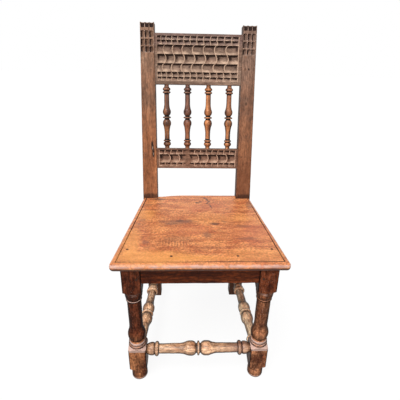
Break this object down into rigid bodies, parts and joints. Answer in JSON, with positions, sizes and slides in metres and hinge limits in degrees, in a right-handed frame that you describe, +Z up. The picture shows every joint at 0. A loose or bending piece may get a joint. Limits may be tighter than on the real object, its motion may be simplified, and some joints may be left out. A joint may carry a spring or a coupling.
{
  "type": "joined side chair",
  "caption": "Joined oak side chair with a board seat, raked spindle back with carved rails, turned front legs and turned low stretchers.",
  "frame": {"origin": "on the floor, at the middle of the chair's overall width and depth", "axes": "+Z up, the longest extent; the chair faces -Y; +X to the right of someone who looks at its front, across the chair, the shortest extent"},
  "size_m": [0.4812, 0.553, 1.043],
  "materials": {
    "back_post": "old oiled oak, dry and rubbed, fine vertical grain",
    "carved_rail": "weathered grey-brown oak with worn ridges",
    "spindle": "dark turned oak, waxed",
    "seat": "orange-brown waxed board with dark stains",
    "seat_rail": "very dark red-brown oak",
    "front_leg": "dark red-brown turned oak with pale worn edges",
    "stretcher": "golden brown turned oak, scuffed",
    "peg": "dark end-grain pegs"
  },
  "bodies": {
    "root": {"seat_board": "seat", "front_seat_rail": "seat_rail", "rear_seat_rail": "seat_rail", "left_seat_rail": "seat_rail", "right_seat_rail": "seat_rail", "left_front_leg": "front_leg", "right_front_leg": "front_leg", "left_back_post": "back_post", "right_back_post": "back_post", "crest_rail": "carved_rail", "lower_back_rail": "carved_rail", "back_spindle_1": "spindle", "back_spindle_2": "spindle", "back_spindle_3": "spindle", "back_spindle_4": "spindle", "front_stretcher": "stretcher", "rear_stretcher": "stretcher", "left_stretcher": "stretcher", "right_stretcher": "stretcher", "crest_rail_pegs": "peg", "lower_back_rail_pegs": "peg", "seat_rail_pegs": "peg", "seat_board_pegs": "peg"}
  },
  "joints": []
}
